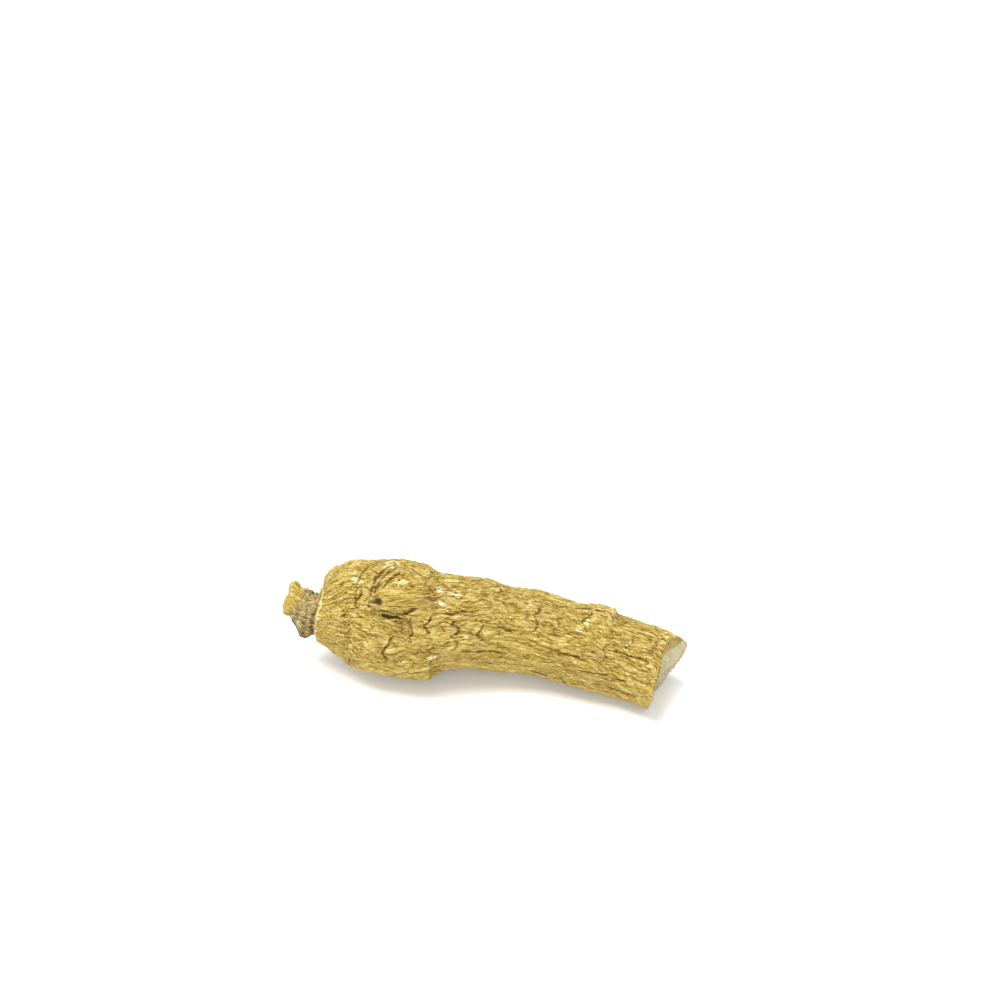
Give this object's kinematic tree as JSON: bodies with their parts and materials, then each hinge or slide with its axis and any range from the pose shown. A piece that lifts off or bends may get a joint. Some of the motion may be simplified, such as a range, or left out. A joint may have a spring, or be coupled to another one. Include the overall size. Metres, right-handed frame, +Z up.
{
  "type": "ginseng root",
  "caption": "Dried ginseng root lying on its side, with a knobbly neck, a swollen wrinkled head, a torn side root and a straight cut tail.",
  "frame": {"origin": "middle of the bounding box's underside, on the surface that the root lies on", "axes": "+Z up, +X along the root from the neck to the cut tail, -Y the side that shows in the picture"},
  "size_m": [0.0656, 0.0188, 0.0187],
  "materials": {
    "dried_bark": "matt dried bark, finely wrinkled"
  },
  "bodies": {
    "root": {"ginseng_root": "dried_bark"}
  },
  "joints": []
}
